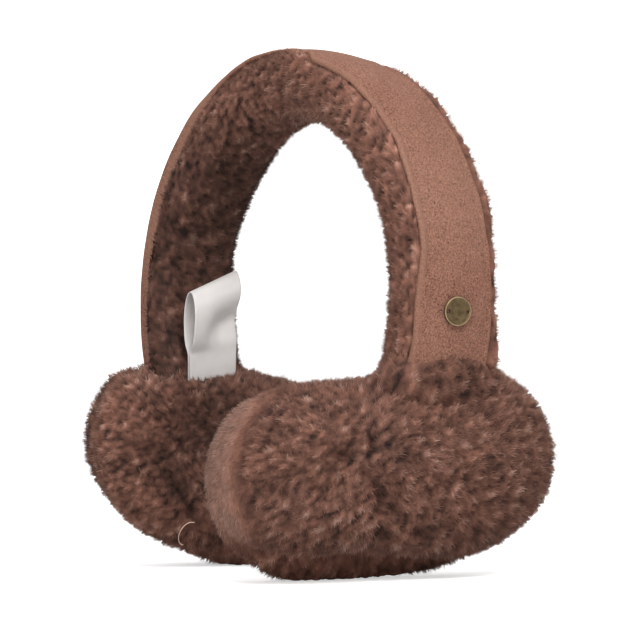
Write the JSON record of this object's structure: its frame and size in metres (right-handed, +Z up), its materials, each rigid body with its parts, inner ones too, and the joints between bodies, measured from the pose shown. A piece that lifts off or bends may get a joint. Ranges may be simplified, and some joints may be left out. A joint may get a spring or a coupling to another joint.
{
  "type": "fur earmuffs",
  "caption": "Sheepskin earmuffs: a suede headband lined with brown fleece, oval fleece ear pads, a round brass badge on one leg and a folded blank label on the other pad.",
  "frame": {"origin": "on the floor, under the middle of the earmuffs' bounding box", "axes": "+Z up, from the pads to the crown of the band; +Y towards the back of the head, across the band's width; +X towards the leg that carries the badge, which is the wearer's left when they look along -Y"},
  "size_m": [0.1746, 0.1505, 0.2],
  "materials": {
    "suede": "napped rose-brown suede",
    "fleece": "deep curly brown sheepskin pile",
    "badge": "antiqued, worn bright on the rim",
    "label": "white satin ribbon"
  },
  "bodies": {
    "root": {"suede_band": "suede", "band_fleece_lining": "fleece", "pad_right_outer": "fleece", "pad_right_inner": "fleece", "pad_left_outer": "fleece", "pad_left_inner": "fleece", "badge": "badge", "care_label": "label"}
  },
  "joints": []
}
